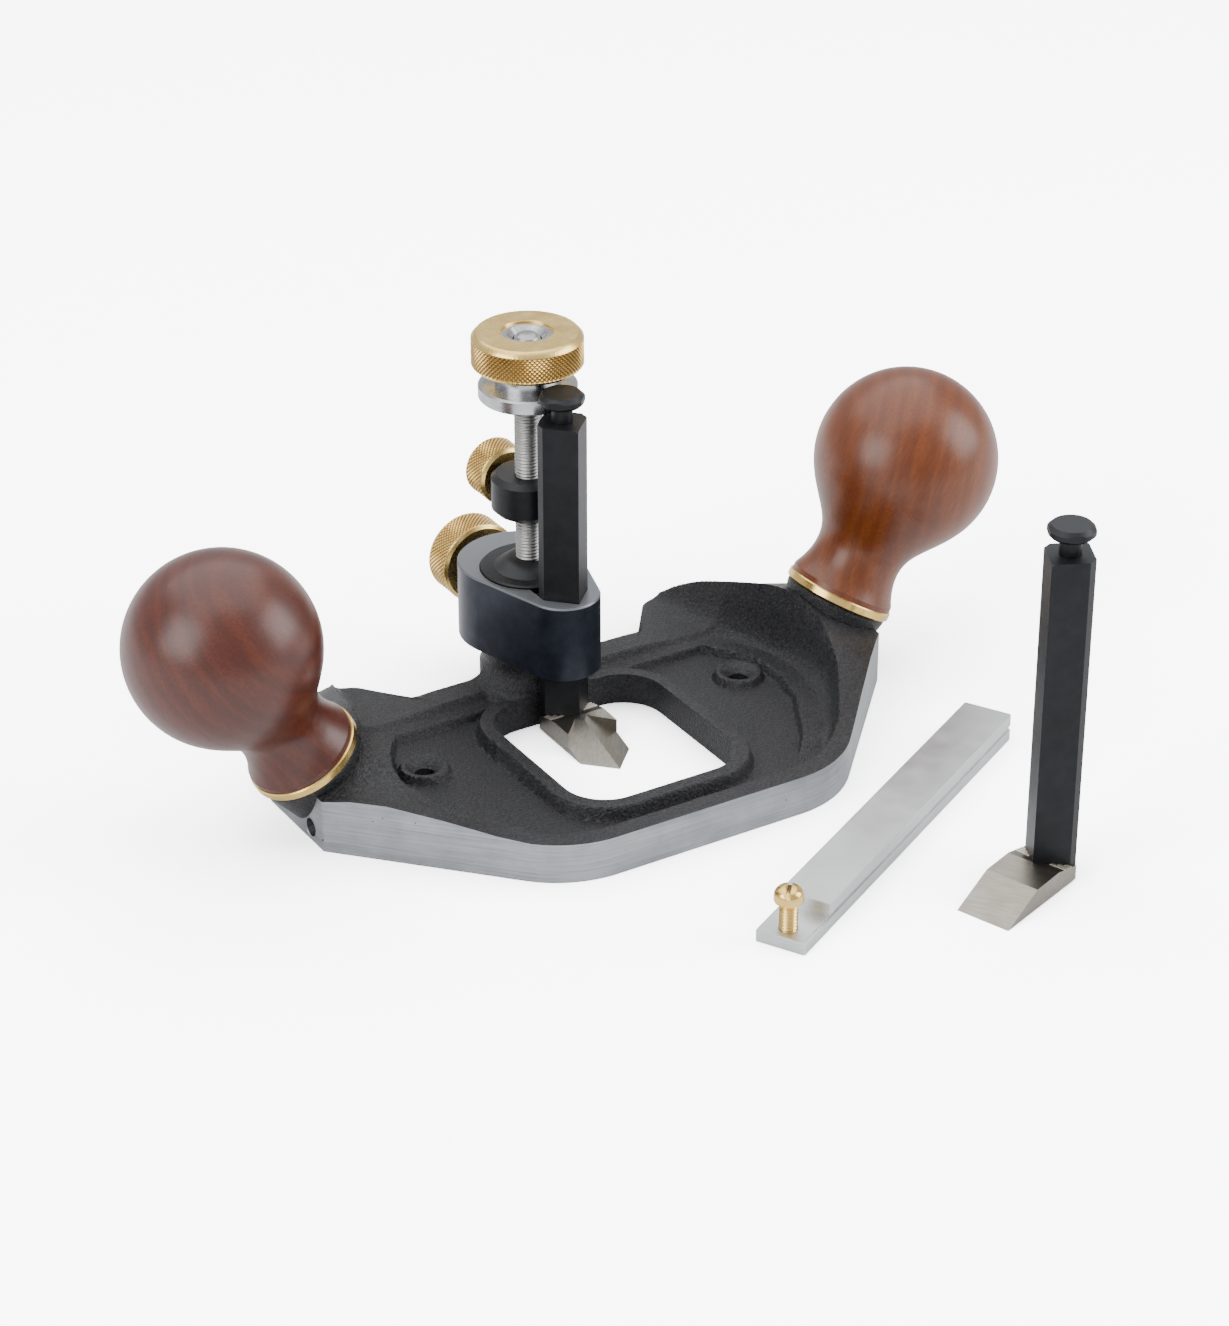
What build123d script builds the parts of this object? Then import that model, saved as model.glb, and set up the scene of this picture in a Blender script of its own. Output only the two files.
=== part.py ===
from build123d import *
import math
import os

# Router plane with two ball handles, its spare straight blade and its fence bar.
# Millimetres. The origin lies on the sole, midway between the two countersunk sole
# holes. +X runs from the left handle to the right one, +Y to the back (the clamp
# screw side) and +Z up.

os.makedirs("parts", exist_ok=True)

# ---- fits ----
slide_gap = 0.05            # radial clearance of parts that slide or turn in each other
seat_gap = 0.02             # radial clearance of parts screwed or pressed together
air_gap = 0.35              # gap between parts that pass each other
overcut = 1.0               # how far a cut runs past what it cuts

# ---- casting, plan ----
front_y = -52.0             # straight front edge of the sole
corner_x = 34.0             # where the front edge would meet the angled side
corner_radius = 25.0        # rounding between the front edge and an angled side
end_x = 72.0                # flat end faces
end_front_y = -11.5         # edges of an end face
end_back_y = 15.0
waist_y = 25.0              # back edge between the ears
waist_x = 31.0              # where it turns back to an ear
ear_x = 38.5                # inner side of an ear
ear_outer_x = 50.0          # where its back edge meets the angled side
ear_y = 37.8
ear_radius = 5.5
waist_radius_in = 6.0       # hollow corner between the back edge and an ear

# ---- casting, heights ----
blank_height = 30.0         # block that the casting is shaped from
rim_height = 9.2            # outer rim along the front
back_rim_height = 8.0       # outer rim along the back
crest_height = 21.4         # highest line of a finger rest
crest_x = 55.5              # where that line runs
crest_y = 1.5
ear_height = 7.6            # tip of an ear
ear_slope_x = 33.0          # where the middle starts to rise to the finger rest
crest_end_height = 18.0     # finger rest where it meets the end face
slope_points = ((-40.0, 9.4), (-26.0, 10.2), (-19.0, 12.4), (-12.0, 17.0))
crest_back = (27.7, 14.8)   # Y and Z of the crest behind the handle
crest_back_end = (36.4, 10.0)

# ---- recess inside the rim ----
floor_height = 4.6
wall_slope = 12.0           # slope of that wall, degrees from upright
recess_corner = 7.0
recess_points = ((24.5, -46.4), (38.5, -35.6), (49.0, -13.5), (52.0, 3.8), (43.5, 18.0))
rest_points = ((30.0, -44.5), (46.0, -27.5), (51.5, -12.0), (53.0, 3.8), (49.5, 19.0), (43.0, 31.0),
               (36.0, 40.0), (0.0, 40.0))
rest_slope = 8.0            # slope of the finger rest's wall, degrees from upright
rest_corner = 5.0

# ---- throat window ----
window_front_y = -36.5
window_rear_y = 11.6
window_width = 42.0
window_radius = 10.0
lip_width = 3.4
lip_height = 7.4

# ---- auxiliary sole holes ----
hole_x = 41.0
hole_diameter = 4.4
countersink_diameter = 8.6
hole_boss_diameter = 11.0
hole_boss_height = 5.9

# ---- threaded holes in the end faces ----
end_hole_y = -6.0
end_hole_z = 3.2
end_hole_diameter = 4.2
end_hole_depth = 10.0

# ---- handles ----
handle_foot_x = 70.0        # centre of the wood's lower face
handle_foot_y = 1.4
handle_foot_z = 18.4
handle_tilt = 30.3          # outward lean, degrees
ball_radius = 21.15
ball_distance = 33.7        # from the foot to the centre of the ball
ball_sweep = 118.0          # how far the ball runs down from its top, degrees
waist_radius = 10.4
waist_distance = 10.5
foot_radius = 12.3
foot_land = 1.2             # straight band at the wood's lower face
foot_flare = (0.55, -1.0)   # direction of the curve where it meets the band
ferrule_radius = 12.7
ferrule_thickness = 2.0
ferrule_bevel = 0.25
boss_radius = 12.4
boss_length = 17.0
boss_taper = 14.0
spot_margin = 0.8           # spot face of a boss, beyond its ferrule
stud_diameter = 6.35
stud_in_casting = 11.0
stud_in_handle = 16.0
insert_diameter = 9.5
insert_length = 18.0

# ---- post and lead screw ----
post_y = 23.6
post_radius = 11.2
post_top = 32.2
screw_diameter = 6.35
screw_seat_depth = 12.0     # length of the lead screw inside the post
screw_top = 90.6
dog_rounding = 1.6          # domed end of the lead screw
cap_flange_thickness = 1.9
cap_edge = 0.3              # bevels of the flange
cap_dome_radius = 8.2
cap_crown_margin = 0.6      # flat round the bore, on top of the dome
cap_height = 4.2

# ---- blade ----
shank_y = 9.0
shank_width = 9.525         # square bar, set corner to the front
shank_flat = 2.2            # width of the flat on each side corner
shank_bottom = 0.9          # back half of the shank, behind the heel
shank_top = 75.3
neck_diameter = 4.7
head_diameter = 10.2
head_bottom = 79.25
head_top = 82.0
head_bevel = 0.9            # bevels above and below the head
shank_bevel = 0.5           # top end of the shank
foot_width = 12.7
foot_heel = 0.3             # heel, behind the shank's axis
foot_height = 5.2           # highest line of the foot
foot_crest = 6.5            # that line, ahead of the shank's axis
foot_heel_height = 3.7
foot_bevel_height = 4.5     # top of the bevel
bevel_angle = 25.0
relief_height = 0.4         # heel's rise above the cutting edge
point_reach = 24.05         # tip of the pointed blade, ahead of the shank's axis
shoulder_reach = 17.95      # where its skewed edges start
straight_reach = 25.0       # edge of the spare blade, ahead of its shank's axis

# ---- adjuster ----
flange_radius = 11.0
flange_bottom = 75.6
flange_top = 78.9
hub_radius = 7.3
sleeve_radius = 5.5
spool_bevel = 0.4
bore_cone = 1.3             # countersink at the top of the bore
wheel_radius = 12.45
wheel_bottom = 83.2
wheel_top = 91.0
wheel_recess_depth = 0.5
wheel_recess_radius = 5.9

# ---- depth stop ----
stop_offset = 1.0           # the ring is thicker towards its thumb screw
stop_shank_gap = 0.865      # between the ring and the shank's back corner
stop_bottom = 47.3
stop_top = 56.7
stop_chamfer = 1.2
stop_screw_diameter = 4.0
stop_knob_radius = 6.9
stop_knob_length = 7.8
stop_screw_z = 51.9

# ---- clamp collar ----
collar_bottom = 15.4
collar_top = 33.4
collar_back_y = 28.6
collar_wall = 2.75          # beside the post
collar_nose_radius = 8.3
collar_bevel = 0.35
clamp_screw_diameter = 6.35
clamp_z = 24.3
clamp_knob_radius = 9.7
clamp_knob_stand = 3.35     # knob's distance from the collar
clamp_knob_length = 8.2
knurl_chamfer = 0.7
knob_bore_end = 2.0         # solid end of a thumb knob, beyond its screw
screw_bevel = 0.4
pad_length = 1.6            # brass pad between the clamp screw and the post
pad_diameter = 5.2

# ---- spare blade and fence, where they lie beside the plane ----
spare_x = 55.0
spare_y = -98.6
spare_turn = -70.7          # turn of the spare blade's foot from straight ahead
fence_x = -10.1             # middle of the fence's tab end
fence_y = -93.6
fence_turn = 28.9
fence_length = 101.6
fence_width = 11.4
fence_thickness = 6.35
fence_bevel = 0.3
fence_tab_length = 11.0
fence_tab_thickness = 3.0
fence_groove_width = 1.0
fence_groove_depth = 0.5
fence_groove_z = 2.6
fence_screw_inset = 3.6
fence_screw_diameter = 4.0
fence_screw_length = 9.6
fence_head_diameter = 6.3
fence_head_height = 3.3
fence_head_rounding = 2.0
fence_slot_width = 1.0
fence_slot_depth = 1.5

# ---- values that follow ----
shank_half_diagonal = shank_width / math.sqrt(2)
shank_half_width = shank_half_diagonal - shank_flat / 2
groove_apex = shank_y + shank_half_diagonal + slide_gap * math.sqrt(2)
screw_radius = screw_diameter / 2
cap_top = post_top + cap_height
collar_back_radius = post_radius + collar_wall
clamp_knob_start = collar_back_y + collar_back_radius + clamp_knob_stand
stop_radius = post_y + stop_offset - shank_y - shank_half_diagonal - stop_shank_gap
stop_knob_start = post_y + stop_offset + stop_radius + air_gap
pad_start = post_y + post_radius
clamp_screw_start = pad_start + pad_length + air_gap
stop_screw_start = post_y + screw_radius + air_gap
head_face = head_diameter / 2 - head_bevel
foot_half = foot_width / 2
window_length = window_rear_y - window_front_y
window_middle = (window_rear_y + window_front_y) / 2


def handle_plane(side, distance):
    """Plane square to a handle's axis, at a distance above the wood's foot."""
    lean = math.radians(handle_tilt)
    up = Vector(side * math.sin(lean), 0, math.cos(lean))
    foot = Vector(side * handle_foot_x, handle_foot_y, handle_foot_z)
    return Plane(origin=foot + up * distance, x_dir=(0, side, 0), z_dir=up)


def handle_section(side):
    """Plane through a handle's axis: its local Y runs up the handle."""
    level = handle_plane(side, 0)
    return Plane(origin=level.origin, x_dir=level.y_dir, z_dir=level.x_dir)


def write(part, label):
    """Name a finished sub-part and write it as its own STEP file."""
    part.label = label
    export_step(part, "parts/" + label + ".step")


def shank_outline(gap):
    """Square bar with its corner to the front and flats on its side corners."""
    reach = shank_half_diagonal + gap * math.sqrt(2)
    side = shank_half_width + gap
    flat = reach - side
    with BuildLine() as outline:
        Polyline((0, -reach), (side, -flat), (side, flat), (0, reach),
                 (-side, flat), (-side, -flat), close=True)
    return outline.line


# ---- body casting ----
with BuildSketch(mode=Mode.PRIVATE) as sole:
    with BuildLine():
        Polyline((0, front_y), (corner_x, front_y), (end_x, end_front_y), (end_x, end_back_y),
                 (ear_outer_x, ear_y), (ear_x, ear_y), (waist_x, waist_y), (0, waist_y), (0, front_y))
    make_face()
    mirror(about=Plane.YZ)
    by_y = sole.vertices().group_by(Axis.Y)
    fillet([v for v in by_y[0] if abs(v.X) > corner_x / 2], corner_radius)
    ears = [v for v in sole.vertices() if v.Y > (waist_y + ear_y) / 2]
    fillet(ears, ear_radius)
    waist = [v for v in sole.vertices() if abs(v.Y - waist_y) < overcut and abs(v.X) > waist_x / 2]
    fillet(waist, waist_radius_in)

with BuildPart() as body_casting:
    add(sole.sketch)
    extrude(amount=blank_height)
    # from the middle to the ends: low rim, then the crest of the finger rests
    with BuildSketch(Plane.XZ.offset(-ear_y)):
        with BuildLine():
            flat = Line((0, rim_height), (ear_slope_x, rim_height))
            crest = Spline(flat @ 1, (crest_x, crest_height), tangents=[(1, 0), (1, 0.15)])
            Polyline(crest @ 1, (end_x + overcut, crest_end_height), (end_x + overcut, 0), (0, 0), (0, rim_height))
        make_face()
        mirror(about=Plane.YZ)
    extrude(amount=ear_y - front_y, mode=Mode.INTERSECT)
    # from the front edge to the back: the sides rise to the crest, which falls to the ears
    with BuildSketch(Plane.YZ.offset(-end_x)):
        with BuildLine():
            front = Line((front_y, 0), (front_y, rim_height))
            rise = Spline(front @ 1, *slope_points, (crest_y, crest_height), tangents=[(1, 0.02), (1, 0)])
            fall = Spline(rise @ 1, crest_back, crest_back_end, (ear_y, ear_height), tangents=[(1, 0), (0.4, -1)])
            Polyline(fall @ 1, (ear_y, 0), front @ 0)
        make_face()
    extrude(amount=2 * end_x, mode=Mode.INTERSECT)
    # slanted bosses that carry the handles
    for side in (-1, 1):
        with BuildSketch(handle_plane(side, -ferrule_thickness)):
            Circle(boss_radius)
        extrude(amount=-boss_length, taper=boss_taper)
    with BuildSketch():
        Rectangle(2 * (end_x + boss_length), 2 * (ear_y + boss_length))
    extrude(amount=-boss_length, mode=Mode.SUBTRACT)
    # spot faces that the ferrules seat on
    for side in (-1, 1):
        with BuildSketch(handle_plane(side, -ferrule_thickness)):
            Circle(ferrule_radius + spot_margin)
        extrude(amount=boss_length, mode=Mode.SUBTRACT)
    # recess inside the rim, and above it the hollow side of the finger rests
    with BuildSketch(Plane.XY.offset(floor_height)):
        with BuildLine():
            Polyline(*recess_points, *[(-x, y) for x, y in reversed(recess_points)], close=True)
        make_face()
        fillet(vertices(), recess_corner)
    extrude(amount=rim_height, taper=-wall_slope, mode=Mode.SUBTRACT)
    with BuildSketch(Plane.XY.offset(back_rim_height)):
        with BuildLine():
            Polyline(*rest_points, *[(-x, y) for x, y in reversed(rest_points[:-1])], close=True)
        make_face()
        fillet([v for v in vertices() if v.Y < ear_y], rest_corner)
    extrude(amount=blank_height, taper=-rest_slope, mode=Mode.SUBTRACT)
    # post, its foot and the lip round the window
    with BuildSketch():
        with Locations((0, post_y)):
            Circle(post_radius)
    extrude(amount=post_top)
    with BuildSketch():
        with Locations((0, window_middle)):
            RectangleRounded(window_width + 2 * lip_width, window_length + 2 * lip_width,
                             window_radius + lip_width)
    extrude(amount=lip_height)
    with BuildSketch():
        with Locations((-hole_x, 0), (hole_x, 0)):
            Circle(hole_boss_diameter / 2)
    extrude(amount=hole_boss_height)
    # the window
    with BuildSketch():
        with Locations((0, window_middle)):
            RectangleRounded(window_width, window_length, window_radius)
    extrude(amount=collar_bottom, mode=Mode.SUBTRACT)
    # V groove that the shank beds in
    with BuildSketch():
        with BuildLine():
            Polyline((0, groove_apex), (-shank_half_diagonal * 2, groove_apex - shank_half_diagonal * 2),
                     (shank_half_diagonal * 2, groove_apex - shank_half_diagonal * 2), close=True)
        make_face()
    extrude(amount=post_top, mode=Mode.SUBTRACT)
    # seat of the lead screw
    with BuildSketch(Plane.XY.offset(post_top)):
        with Locations((0, post_y)):
            Circle(screw_radius + seat_gap)
    extrude(amount=-screw_seat_depth, mode=Mode.SUBTRACT)
    # countersunk sole holes
    with Locations((-hole_x, 0, hole_boss_height), (hole_x, 0, hole_boss_height)):
        CounterSinkHole(hole_diameter / 2, countersink_diameter / 2, depth=hole_boss_height + overcut)
    # threaded holes in the end faces
    for side in (-1, 1):
        with BuildSketch(Plane(origin=(side * end_x, end_hole_y, end_hole_z), z_dir=(side, 0, 0))):
            Circle(end_hole_diameter / 2)
        extrude(amount=-end_hole_depth, mode=Mode.SUBTRACT)
        with BuildSketch(handle_plane(side, -ferrule_thickness)):
            Circle(stud_diameter / 2 + seat_gap)
        extrude(amount=-stud_in_casting, mode=Mode.SUBTRACT)
write(body_casting.part, "body_casting")


# ---- handles: wood, ferrule, insert and stud ----
def make_handle(side, name):
    """Ball handle turned in one piece, bored for its insert."""
    with BuildPart() as handle:
        with BuildSketch(handle_section(side)):
            with BuildLine():
                top = ball_distance + ball_radius
                ball = CenterArc((0, ball_distance), ball_radius, 90, -ball_sweep)
                foot = Line((foot_radius, 0), (foot_radius, foot_land))
                Spline(ball @ 1, (waist_radius, waist_distance), foot @ 1,
                       tangents=[ball % 1, foot_flare])
                Polyline(foot @ 0, (0, 0), (0, top))
            make_face()
        section = handle_section(side)
        revolve(axis=Axis(section.origin, section.y_dir))
        with BuildSketch(handle_plane(side, 0)):
            Circle(insert_diameter / 2 + seat_gap)
        extrude(amount=insert_length, mode=Mode.SUBTRACT)
    write(handle.part, name + "_handle")
    with BuildPart() as insert:
        with BuildSketch(handle_plane(side, 0)):
            Circle(insert_diameter / 2)
            Circle(stud_diameter / 2 + seat_gap, mode=Mode.SUBTRACT)
        extrude(amount=insert_length)
    write(insert.part, name + "_handle_insert")
    with BuildPart() as ferrule:
        with BuildSketch(handle_plane(side, -ferrule_thickness)):
            Circle(ferrule_radius)
            Circle(stud_diameter / 2 + seat_gap, mode=Mode.SUBTRACT)
        extrude(amount=ferrule_thickness)
        chamfer(ferrule.edges().filter_by(GeomType.CIRCLE).sort_by(SortBy.RADIUS)[-2:], ferrule_bevel)
    write(ferrule.part, name + "_ferrule")
    with BuildPart() as stud:
        with BuildSketch(handle_plane(side, -ferrule_thickness - stud_in_casting)):
            Circle(stud_diameter / 2)
        extrude(amount=stud_in_casting + ferrule_thickness + stud_in_handle)
    write(stud.part, name + "_handle_stud")


make_handle(-1, "left")
make_handle(1, "right")

# ---- lead screw and the cap on the post ----
with BuildPart() as lead_screw:
    with BuildSketch(Plane.XY.offset(post_top - screw_seat_depth)):
        with Locations((0, post_y)):
            Circle(screw_radius)
    extrude(amount=screw_top - post_top + screw_seat_depth)
    fillet(lead_screw.edges().group_by(Axis.Z)[-1], dog_rounding)
write(lead_screw.part, "lead_screw")

with BuildPart() as post_cap:
    with BuildSketch(Plane.XZ.offset(-post_y)):
        with BuildLine():
            bore = screw_radius + seat_gap
            flange_top_z = post_top + cap_flange_thickness
            Polyline((bore, post_top), (post_radius - cap_edge, post_top),
                     (post_radius, flange_top_z - cap_edge), (post_radius - cap_edge, flange_top_z),
                     (cap_dome_radius, flange_top_z))
            dome = Spline((cap_dome_radius, flange_top_z), (bore + cap_crown_margin, cap_top),
                          tangents=[(-1, 0.6), (-1, 0.1)])
            Polyline(dome @ 1, (bore, cap_top), (bore, post_top))
        make_face()
    revolve(axis=Axis((0, post_y, 0), (0, 0, 1)))
    # the shank passes the front of the cap
    with BuildSketch(Plane.XY.offset(post_top)):
        with BuildLine():
            Polyline((0, groove_apex + air_gap),
                     (-shank_half_diagonal * 2, groove_apex + air_gap - shank_half_diagonal * 2),
                     (shank_half_diagonal * 2, groove_apex + air_gap - shank_half_diagonal * 2), close=True)
        make_face()
    extrude(amount=cap_height, mode=Mode.SUBTRACT)
write(post_cap.part, "post_cap")

# ---- adjuster: steel spool and brass wheel ----
with BuildPart() as adjuster_spool:
    for radius, low, high in ((flange_radius, flange_bottom, flange_top),
                              (hub_radius, flange_top, wheel_bottom),
                              (sleeve_radius, wheel_bottom, wheel_top - wheel_recess_depth)):
        with BuildSketch(Plane.XY.offset(low)):
            with Locations((0, post_y)):
                Circle(radius)
        extrude(amount=high - low)
    with BuildSketch(Plane.XY.offset(flange_bottom)):
        with Locations((0, post_y)):
            Circle(screw_radius + slide_gap)
    extrude(amount=wheel_top - flange_bottom, mode=Mode.SUBTRACT)
    chamfer(adjuster_spool.edges().filter_by(GeomType.CIRCLE).sort_by(SortBy.RADIUS)[-2:], spool_bevel)
    bore_mouth = adjuster_spool.edges().filter_by(GeomType.CIRCLE).group_by(Axis.Z)[-1]
    chamfer(bore_mouth.sort_by(SortBy.RADIUS)[0], bore_cone)
write(adjuster_spool.part, "adjuster_spool")

with BuildPart() as adjuster_wheel:
    with BuildSketch(Plane.XY.offset(wheel_bottom)):
        with Locations((0, post_y)):
            Circle(wheel_radius)
            Circle(sleeve_radius + seat_gap, mode=Mode.SUBTRACT)
    extrude(amount=wheel_top - wheel_bottom)
    with BuildSketch(Plane.XY.offset(wheel_top)):
        with Locations((0, post_y)):
            Circle(wheel_recess_radius)
    extrude(amount=-wheel_recess_depth, mode=Mode.SUBTRACT)
    chamfer(adjuster_wheel.edges().filter_by(GeomType.CIRCLE).sort_by(SortBy.RADIUS)[-2:], knurl_chamfer)
write(adjuster_wheel.part, "adjuster_wheel")

# ---- depth stop: ring, its screw and knob ----
with BuildPart() as stop_ring:
    with BuildSketch(Plane.XY.offset(stop_bottom)):
        with Locations((0, post_y + stop_offset)):
            Circle(stop_radius)
    extrude(amount=stop_top - stop_bottom)
    chamfer(stop_ring.edges().filter_by(GeomType.CIRCLE), stop_chamfer)
    with BuildSketch(Plane.XY.offset(stop_bottom)):
        with Locations((0, post_y)):
            Circle(screw_radius + slide_gap)
    extrude(amount=stop_top - stop_bottom, mode=Mode.SUBTRACT)
    with BuildSketch(Plane(origin=(0, post_y, stop_screw_z), x_dir=(1, 0, 0), z_dir=(0, 1, 0))):
        Circle(stop_screw_diameter / 2 + slide_gap)
    extrude(amount=2 * stop_radius, mode=Mode.SUBTRACT)
write(stop_ring.part, "stop_ring")


def make_knob(name, height, start, length, radius, screw_start, screw_diameter_, screw_end):
    """Knurled thumb knob on a screw that lies along the Y axis."""
    with BuildPart() as knob:
        with BuildSketch(Plane(origin=(0, start, height), x_dir=(1, 0, 0), z_dir=(0, 1, 0))):
            Circle(radius)
        extrude(amount=length)
        chamfer(knob.edges().filter_by(GeomType.CIRCLE), knurl_chamfer)
        with BuildSketch(Plane(origin=(0, start, height), x_dir=(1, 0, 0), z_dir=(0, 1, 0))):
            Circle(screw_diameter_ / 2 + seat_gap)
        extrude(amount=screw_end - start, mode=Mode.SUBTRACT)
    write(knob.part, name + "_knob")
    with BuildPart() as screw:
        with BuildSketch(Plane(origin=(0, screw_start, height), x_dir=(1, 0, 0), z_dir=(0, 1, 0))):
            Circle(screw_diameter_ / 2)
        extrude(amount=screw_end - screw_start)
        chamfer(screw.edges().group_by(Axis.Y)[0], screw_bevel)
    write(screw.part, name + "_screw")


make_knob("stop", stop_screw_z, stop_knob_start, stop_knob_length, stop_knob_radius,
          stop_screw_start, stop_screw_diameter, stop_knob_start + stop_knob_length - knob_bore_end)
make_knob("clamp", clamp_z, clamp_knob_start, clamp_knob_length, clamp_knob_radius,
          clamp_screw_start, clamp_screw_diameter, clamp_knob_start + clamp_knob_length - knob_bore_end)

# ---- clamp collar and its pad ----
with BuildPart() as clamp_collar:
    with BuildSketch(Plane.XY.offset(collar_bottom)):
        with Locations((0, collar_back_y)):
            Circle(collar_back_radius)
        with Locations((0, shank_y)):
            Circle(collar_nose_radius)
        make_hull()
    extrude(amount=collar_top - collar_bottom)
    chamfer(clamp_collar.edges().group_by(Axis.Z)[-1], collar_bevel)
    with BuildSketch(Plane.XY.offset(collar_bottom)):
        with Locations((0, post_y), (0, post_y + air_gap)):
            Circle(post_radius + slide_gap)
    extrude(amount=collar_top - collar_bottom, mode=Mode.SUBTRACT)
    with BuildSketch(Plane.XY.offset(collar_bottom)):
        with Locations((0, shank_y)):
            add(shank_outline(slide_gap))
            make_face()
        with Locations((0, (shank_y + post_y) / 2)):
            Rectangle(2 * (shank_half_width + slide_gap), post_y - shank_y)
    extrude(amount=collar_top - collar_bottom, mode=Mode.SUBTRACT)
    with BuildSketch(Plane(origin=(0, post_y, clamp_z), x_dir=(1, 0, 0), z_dir=(0, 1, 0))):
        Circle(clamp_screw_diameter / 2 + slide_gap)
    extrude(amount=collar_back_radius * 2, mode=Mode.SUBTRACT)
write(clamp_collar.part, "clamp_collar")

with BuildPart() as clamp_pad:
    with BuildSketch(Plane(origin=(0, post_y, clamp_z), x_dir=(1, 0, 0), z_dir=(0, 1, 0))):
        Circle(pad_diameter / 2)
    extrude(amount=post_radius + pad_length - slide_gap)
    with BuildSketch(Plane.XY.offset(collar_bottom)):
        with Locations((0, post_y)):
            Circle(post_radius + seat_gap)
    extrude(amount=collar_top - collar_bottom, mode=Mode.SUBTRACT)
write(clamp_pad.part, "clamp_pad")


# ---- blades: a shank with a neck and a head, on a ground foot ----
def make_blade(place, reach, shoulder, name):
    """Ground foot with its bevels, and the square shank that stands at its heel."""
    across = Plane(origin=place.origin, x_dir=-place.y_dir, z_dir=-place.x_dir)
    with BuildPart() as foot:
        with BuildSketch(across.offset(-foot_half)):
            with BuildLine():
                Polyline((reach, 0), (reach, foot_bevel_height), (foot_crest, foot_height),
                         (-foot_heel, foot_heel_height), (-foot_heel, relief_height), close=True)
            make_face()
        extrude(amount=foot_width)
        # a straight edge, or two skewed ones that meet in a point
        for side in (-1, 1):
            tip = place.from_local_coords(Vector(0, -reach, 0))
            corner = place.from_local_coords(Vector(side * foot_half, -shoulder, 0))
            edge = (corner - tip).normalized()
            inward = Vector(0, 0, side).cross(edge)
            with BuildSketch(Plane(origin=tip, x_dir=inward, z_dir=edge)) as ground:
                with BuildLine():
                    run = foot_height / math.tan(math.radians(bevel_angle))
                    rise = side * foot_height
                    Polyline((0, 0), (run, rise), (-reach, rise), (-reach, -rise), (0, -rise), close=True)
                make_face()
            extrude(amount=foot_width, both=True, mode=Mode.SUBTRACT)
    write(foot.part, name + "_foot")
    with BuildPart() as shank:
        with BuildSketch(place.offset(shank_bottom)):
            add(shank_outline(0))
            make_face()
        extrude(amount=head_top - shank_bottom)
        with BuildSketch(Plane(origin=place.origin, x_dir=place.x_dir, z_dir=-place.y_dir)):
            with BuildLine():
                Polyline((0, shank_bottom), (shank_half_diagonal, shank_bottom),
                         (shank_half_diagonal, shank_top - shank_bevel),
                         (shank_half_diagonal - shank_bevel, shank_top), (neck_diameter / 2, shank_top),
                         (neck_diameter / 2, head_bottom), (head_face, head_bottom),
                         (head_diameter / 2, head_bottom + head_bevel),
                         (head_diameter / 2, head_top - head_bevel), (head_face, head_top),
                         (0, head_top), close=True)
            make_face()
        revolve(axis=Axis(place.origin, (0, 0, 1)), mode=Mode.INTERSECT)
        # the front half ends on the foot
        with BuildSketch(across.offset(-foot_width)):
            with BuildLine():
                Polyline((reach, 0), (reach, foot_bevel_height), (foot_crest, foot_height),
                         (-foot_heel, foot_heel_height), (-foot_heel, 0), close=True)
            make_face()
        extrude(amount=2 * foot_width, mode=Mode.SUBTRACT)
    write(shank.part, name + "_shank")


installed = Plane(origin=(0, shank_y, 0))
make_blade(installed, point_reach, shoulder_reach, "blade")
spare = Plane(origin=(spare_x, spare_y, 0), z_dir=(0, 0, 1)).rotated((0, 0, spare_turn))
make_blade(spare, straight_reach, straight_reach, "spare_blade")

# ---- fence bar and its screw ----
bar = Plane(origin=(fence_x, fence_y, 0), z_dir=(0, 0, 1)).rotated((0, 0, fence_turn))
with BuildPart() as fence_bar:
    with BuildSketch(bar):
        with Locations((fence_length / 2, 0)):
            Rectangle(fence_length, fence_width)
    extrude(amount=fence_thickness)
    chamfer(fence_bar.edges().filter_by(Axis.Z), fence_bevel)
    with BuildSketch(bar.offset(fence_tab_thickness)):
        with Locations((fence_tab_length / 2, 0)):
            Rectangle(fence_tab_length, fence_width)
    extrude(amount=fence_thickness - fence_tab_thickness, mode=Mode.SUBTRACT)
    with BuildSketch(bar.offset(fence_groove_z)):
        with Locations((fence_length / 2, -fence_width / 2), (fence_length / 2, fence_width / 2)):
            Rectangle(fence_length, 2 * fence_groove_depth)
    extrude(amount=fence_groove_width, mode=Mode.SUBTRACT)
    with BuildSketch(bar):
        with Locations((fence_screw_inset, 0)):
            Circle(fence_screw_diameter / 2 + slide_gap)
    extrude(amount=fence_tab_thickness, mode=Mode.SUBTRACT)
write(fence_bar.part, "fence_bar")

with BuildPart() as fence_screw:
    with BuildSketch(bar.offset(slide_gap)):
        with Locations((fence_screw_inset, 0)):
            Circle(fence_screw_diameter / 2)
    extrude(amount=fence_screw_length)
    with BuildSketch(bar.offset(fence_screw_length)):
        with Locations((fence_screw_inset, 0)):
            Circle(fence_head_diameter / 2)
    extrude(amount=fence_head_height)
    fillet(fence_screw.edges().group_by(Axis.Z)[-1], fence_head_rounding)
    with BuildSketch(bar.offset(fence_screw_length + fence_head_height)):
        with Locations((fence_screw_inset, 0)):
            Rectangle(fence_slot_width, 2 * fence_head_diameter)
    extrude(amount=-fence_slot_depth, mode=Mode.SUBTRACT)
write(fence_screw.part, "fence_screw")
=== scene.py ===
"""Looks of a two-handled router plane, its spare blade and its fence bar.

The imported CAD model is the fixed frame. Pieces whose shape is right keep their CAD
mesh and get a finish; the casting, the knurled wheels and the threads are worked out
here as surfaces of two parameters.
"""

import logging
import math
from dataclasses import dataclass, field
from enum import Enum
from typing import Any, Callable, Sequence

import bpy
import numpy as np
from mathutils import Matrix, Vector


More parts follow.
